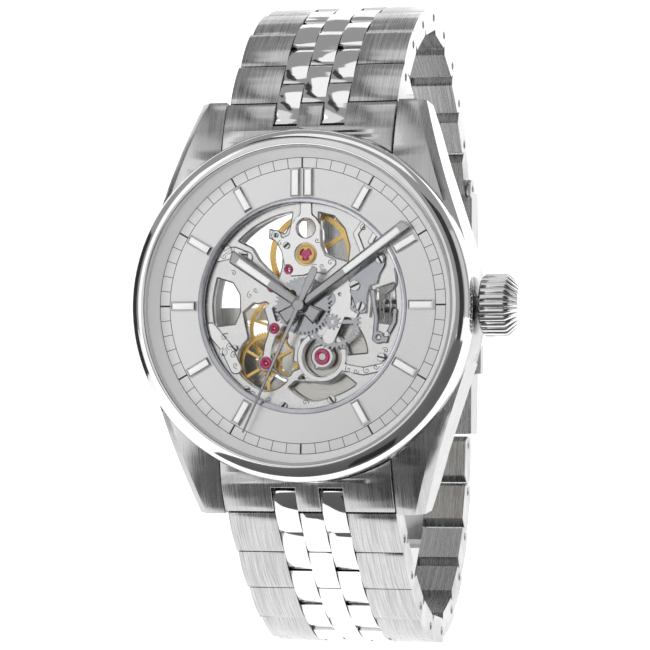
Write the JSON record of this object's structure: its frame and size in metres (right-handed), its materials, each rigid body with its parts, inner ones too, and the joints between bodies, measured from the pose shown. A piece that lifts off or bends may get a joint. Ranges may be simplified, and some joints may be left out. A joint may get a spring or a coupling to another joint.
{
  "type": "skeleton wristwatch",
  "caption": "Automatic skeleton wristwatch with an open dial, a turning gear train, a pull-out crown and a hinged link bracelet with a folding clasp.",
  "frame": {"origin": "centre of the caseback window's flat outer face", "axes": "+Z to 12 o'clock, +X to the crown at 3 o'clock, +Y from the dial towards the wrist"},
  "size_m": [0.0457, 0.0495, 0.0776],
  "materials": {
    "brushed_steel": "brushed",
    "polished_steel": "polished",
    "glass": "clear",
    "silver_dial": "fine brushed",
    "rubber": "matt",
    "rhodium": "satin",
    "steel_blued_grey": "polished",
    "gilt_brass": "satin",
    "copper_steel": "satin",
    "ruby": "polished"
  },
  "bodies": {
    "case": {"mid_case": "brushed_steel", "bezel": "polished_steel", "crystal": "glass", "gaskets": "rubber", "rehaut_ring": "silver_dial", "dial": "silver_dial", "hour_indices": "polished_steel", "main_plate": "rhodium", "train_bridge": "rhodium", "balance_cock": "rhodium", "jewels": "ruby", "movement_screws": "steel_blued_grey", "shock_setting": "gilt_brass", "keyless_works": "rhodium", "caseback": "brushed_steel", "caseback_crystal": "glass", "end_links": "brushed_steel", "spring_bars": "brushed_steel"},
    "seconds_hand": {"seconds_hand": "polished_steel", "fourth_wheel": "gilt_brass"},
    "minute_hand": {"minute_hand": "polished_steel", "centre_wheel": "gilt_brass"},
    "hour_hand": {"hour_hand": "polished_steel", "hour_wheel": "steel_blued_grey"},
    "minute_wheel": {"minute_wheel": "gilt_brass"},
    "third_wheel": {"third_wheel": "gilt_brass"},
    "intermediate_wheel": {"intermediate_wheel": "gilt_brass"},
    "barrel": {"barrel": "rhodium"},
    "escape_wheel": {"escape_wheel": "copper_steel"},
    "pallet_fork": {"pallet_fork": "steel_blued_grey"},
    "balance": {"balance_wheel": "gilt_brass", "hairspring": "steel_blued_grey"},
    "rotor": {"rotor": "rhodium"},
    "sliding_pinion": {"sliding_pinion": "steel_blued_grey"},
    "crown": {"crown": "polished_steel", "winding_stem": "steel_blued_grey"},
    "upper_link_1": {"upper_link_1": "brushed_steel"},
    "upper_link_2": {"upper_link_2": "brushed_steel"},
    "upper_link_3": {"upper_link_3": "brushed_steel"},
    "upper_link_4": {"upper_link_4": "brushed_steel"},
    "upper_link_5": {"upper_link_5": "brushed_steel"},
    "upper_link_6": {"upper_link_6": "brushed_steel"},
    "upper_link_7": {"upper_link_7": "brushed_steel"},
    "upper_link_8": {"upper_link_8": "brushed_steel"},
    "upper_link_9": {"upper_link_9": "brushed_steel"},
    "lower_link_1": {"lower_link_1": "brushed_steel"},
    "lower_link_2": {"lower_link_2": "brushed_steel"},
    "lower_link_3": {"lower_link_3": "brushed_steel"},
    "lower_link_4": {"lower_link_4": "brushed_steel"},
    "lower_link_5": {"lower_link_5": "brushed_steel"},
    "lower_link_6": {"lower_link_6": "brushed_steel"},
    "lower_link_7": {"lower_link_7": "brushed_steel"},
    "lower_link_8": {"lower_link_8": "brushed_steel"},
    "lower_link_9": {"lower_link_9": "brushed_steel"},
    "lower_link_10": {"lower_link_10": "brushed_steel"},
    "clasp_short_blade": {"clasp_short_blade": "polished_steel"},
    "clasp_long_blade": {"clasp_long_blade": "polished_steel"},
    "clasp_cover": {"clasp_cover": "brushed_steel"},
    "clasp_pusher_right": {"clasp_pusher_right": "polished_steel"},
    "clasp_pusher_left": {"clasp_pusher_left": "polished_steel"}
  },
  "joints": [
    {"name": "seconds_turn", "type": "hinge", "parent": "case", "child": "seconds_hand", "pos_m": [0, -0.0052, 0], "axis": [0, 1, 0], "continuous": true},
    {"name": "minutes_turn", "type": "hinge", "parent": "case", "child": "minute_hand", "pos_m": [0, -0.0052, 0], "axis": [0, 1, 0], "continuous": true},
    {"name": "hours_turn", "type": "hinge", "parent": "case", "child": "hour_hand", "pos_m": [0, -0.0052, 0], "axis": [0, 1, 0], "continuous": true},
    {"name": "minute_wheel_turn", "type": "hinge", "parent": "case", "child": "minute_wheel", "pos_m": [0.0036, -0.0052, -0.00188], "axis": [0, 1, 0], "continuous": true},
    {"name": "third_wheel_turn", "type": "hinge", "parent": "case", "child": "third_wheel", "pos_m": [-0.0036, -0.0052, -0.0026], "axis": [0, 1, 0], "continuous": true},
    {"name": "intermediate_wheel_turn", "type": "hinge", "parent": "case", "child": "intermediate_wheel", "pos_m": [-0.0046, -0.0052, -0.00666], "axis": [0, 1, 0], "continuous": true},
    {"name": "barrel_turn", "type": "hinge", "parent": "case", "child": "barrel", "pos_m": [0.0022, -0.0052, -0.0059], "axis": [0, 1, 0], "continuous": true},
    {"name": "escape_wheel_turn", "type": "hinge", "parent": "case", "child": "escape_wheel", "pos_m": [-0.0039, -0.0052, 0.0022], "axis": [0, 1, 0], "continuous": true},
    {"name": "pallet_fork_rock", "type": "hinge", "parent": "case", "child": "pallet_fork", "pos_m": [-0.0019, -0.0052, 0.00425], "axis": [0, 1, 0], "range_deg": [-4, 4]},
    {"name": "balance_swing", "type": "hinge", "parent": "case", "child": "balance", "pos_m": [0.0002, -0.0052, 0.006], "axis": [0, 1, 0], "range_deg": [-270, 270]},
    {"name": "rotor_turn", "type": "hinge", "parent": "case", "child": "rotor", "pos_m": [0, -0.0052, 0], "axis": [0, 1, 0], "continuous": true},
    {"name": "crown_turn", "type": "hinge", "parent": "case", "child": "sliding_pinion", "pos_m": [0.012, -0.0043, 0], "axis": [1, 0, 0], "continuous": true},
    {"name": "crown_pull", "type": "slide", "parent": "sliding_pinion", "child": "crown", "axis": [1, 0, 0], "range_m": [0, 0.001]},
    {"name": "upper_link_1_hinge", "type": "hinge", "parent": "case", "child": "upper_link_1", "pos_m": [0, -0.0032, 0.0224], "axis": [1, 0, 0], "range_deg": [0, 16]},
    {"name": "upper_link_2_hinge", "type": "hinge", "parent": "upper_link_1", "child": "upper_link_2", "pos_m": [0, 0.00027, 0.02717], "axis": [1, 0, 0], "range_deg": [0, 7]},
    {"name": "upper_link_3_hinge", "type": "hinge", "parent": "upper_link_2", "child": "upper_link_3", "pos_m": [0, 0.00429, 0.03149], "axis": [1, 0, 0], "range_deg": [0, 17]},
    {"name": "upper_link_4_hinge", "type": "hinge", "parent": "upper_link_3", "child": "upper_link_4", "pos_m": [0, 0.0094, 0.03444], "axis": [1, 0, 0], "range_deg": [0, 15]},
    {"name": "upper_link_5_hinge", "type": "hinge", "parent": "upper_link_4", "child": "upper_link_5", "pos_m": [0, 0.0151, 0.03596], "axis": [1, 0, 0], "range_deg": [0, 30]},
    {"name": "upper_link_6_hinge", "type": "hinge", "parent": "upper_link_5", "child": "upper_link_6", "pos_m": [0, 0.0208, 0.03444], "axis": [1, 0, 0], "range_deg": [0, 18]},
    {"name": "upper_link_7_hinge", "type": "hinge", "parent": "upper_link_6", "child": "upper_link_7", "pos_m": [0, 0.02575, 0.03122], "axis": [1, 0, 0], "range_deg": [0, 14]},
    {"name": "upper_link_8_hinge", "type": "hinge", "parent": "upper_link_7", "child": "upper_link_8", "pos_m": [0, 0.02977, 0.02691], "axis": [1, 0, 0], "range_deg": [0, 9]},
    {"name": "upper_link_9_hinge", "type": "hinge", "parent": "upper_link_8", "child": "upper_link_9", "pos_m": [0, 0.03307, 0.02202], "axis": [1, 0, 0], "range_deg": [0, 12]},
    {"name": "lower_link_1_hinge", "type": "hinge", "parent": "case", "child": "lower_link_1", "pos_m": [0, -0.0032, -0.0224], "axis": [-1, 0, 0], "range_deg": [0, 19]},
    {"name": "lower_link_2_hinge", "type": "hinge", "parent": "lower_link_1", "child": "lower_link_2", "pos_m": [0, 0.00054, -0.02702], "axis": [-1, 0, 0], "range_deg": [0, 4]},
    {"name": "lower_link_3_hinge", "type": "hinge", "parent": "lower_link_2", "child": "lower_link_3", "pos_m": [0, 0.0046, -0.03138], "axis": [-1, 0, 0], "range_deg": [0, 8]},
    {"name": "lower_link_4_hinge", "type": "hinge", "parent": "lower_link_3", "child": "lower_link_4", "pos_m": [0, 0.00923, -0.03512], "axis": [-1, 0, 0], "range_deg": [0, 13]},
    {"name": "lower_link_5_hinge", "type": "hinge", "parent": "lower_link_4", "child": "lower_link_5", "pos_m": [0, 0.01457, -0.03773], "axis": [-1, 0, 0], "range_deg": [0, 18]},
    {"name": "lower_link_6_hinge", "type": "hinge", "parent": "lower_link_5", "child": "lower_link_6", "pos_m": [0, 0.02047, -0.03856], "axis": [-1, 0, 0], "range_deg": [0, 31]},
    {"name": "lower_link_7_hinge", "type": "hinge", "parent": "lower_link_6", "child": "lower_link_7", "pos_m": [0, 0.02594, -0.03623], "axis": [-1, 0, 0], "range_deg": [0, 19]},
    {"name": "lower_link_8_hinge", "type": "hinge", "parent": "lower_link_7", "child": "lower_link_8", "pos_m": [0, 0.03036, -0.03225], "axis": [-1, 0, 0], "range_deg": [0, 14]},
    {"name": "lower_link_9_hinge", "type": "hinge", "parent": "lower_link_8", "child": "lower_link_9", "pos_m": [0, 0.03369, -0.02732], "axis": [-1, 0, 0], "range_deg": [0, 15]},
    {"name": "lower_link_10_hinge", "type": "hinge", "parent": "lower_link_9", "child": "lower_link_10", "pos_m": [0, 0.03563, -0.02169], "axis": [-1, 0, 0], "range_deg": [0, 13]},
    {"name": "short_blade_hinge", "type": "hinge", "parent": "lower_link_10", "child": "clasp_short_blade", "pos_m": [0, 0.03625, -0.01577], "axis": [-1, 0, 0], "range_deg": [0, 9]},
    {"name": "clasp_fold", "type": "hinge", "parent": "clasp_short_blade", "child": "clasp_long_blade", "pos_m": [0, 0.03535, 0.012], "axis": [1, 0, 0], "range_deg": [0, 140]},
    {"name": "clasp_cover_hinge", "type": "hinge", "parent": "clasp_long_blade", "child": "clasp_cover", "pos_m": [0, 0.0361, -0.0116], "axis": [1, 0, 0], "range_deg": [-140, 0]},
    {"name": "pusher_right", "type": "slide", "parent": "clasp_cover", "child": "clasp_pusher_right", "axis": [-1, 0, 0], "range_m": [0, 0.0008], "stiffness_N_per_m": 400, "springref_m": -0.0005},
    {"name": "pusher_left", "type": "slide", "parent": "clasp_cover", "child": "clasp_pusher_left", "axis": [1, 0, 0], "range_m": [0, 0.0008], "stiffness_N_per_m": 400, "springref_m": -0.0005}
  ],
  "couplings": [
    {"joint": "minutes_turn", "follows": "seconds_turn", "ratio": 0.016667},
    {"joint": "hours_turn", "follows": "seconds_turn", "ratio": 0.0013889},
    {"joint": "minute_wheel_turn", "follows": "seconds_turn", "ratio": -0.0055556},
    {"joint": "third_wheel_turn", "follows": "seconds_turn", "ratio": -0.125},
    {"joint": "intermediate_wheel_turn", "follows": "seconds_turn", "ratio": 0.017857},
    {"joint": "barrel_turn", "follows": "seconds_turn", "ratio": -0.0046769},
    {"joint": "escape_wheel_turn", "follows": "seconds_turn", "ratio": -12},
    {"joint": "upper_link_2_hinge", "follows": "upper_link_1_hinge", "ratio": 0.4375},
    {"joint": "upper_link_3_hinge", "follows": "upper_link_1_hinge", "ratio": 1.0625},
    {"joint": "upper_link_4_hinge", "follows": "upper_link_1_hinge", "ratio": 0.9375},
    {"joint": "upper_link_5_hinge", "follows": "upper_link_1_hinge", "ratio": 1.875},
    {"joint": "upper_link_6_hinge", "follows": "upper_link_1_hinge", "ratio": 1.125},
    {"joint": "upper_link_7_hinge", "follows": "upper_link_1_hinge", "ratio": 0.875},
    {"joint": "upper_link_8_hinge", "follows": "upper_link_1_hinge", "ratio": 0.5625},
    {"joint": "upper_link_9_hinge", "follows": "upper_link_1_hinge", "ratio": 0.75},
    {"joint": "lower_link_2_hinge", "follows": "lower_link_1_hinge", "ratio": 0.21053},
    {"joint": "lower_link_3_hinge", "follows": "lower_link_1_hinge", "ratio": 0.42105},
    {"joint": "lower_link_4_hinge", "follows": "lower_link_1_hinge", "ratio": 0.68421},
    {"joint": "lower_link_5_hinge", "follows": "lower_link_1_hinge", "ratio": 0.94737},
    {"joint": "lower_link_6_hinge", "follows": "lower_link_1_hinge", "ratio": 1.6316},
    {"joint": "lower_link_7_hinge", "follows": "lower_link_1_hinge", "ratio": 1},
    {"joint": "lower_link_8_hinge", "follows": "lower_link_1_hinge", "ratio": 0.73684},
    {"joint": "lower_link_9_hinge", "follows": "lower_link_1_hinge", "ratio": 0.78947},
    {"joint": "lower_link_10_hinge", "follows": "lower_link_1_hinge", "ratio": 0.68421},
    {"joint": "short_blade_hinge", "follows": "lower_link_1_hinge", "ratio": 0.47368},
    {"joint": "clasp_cover_hinge", "follows": "clasp_fold", "ratio": -1}
  ]
}
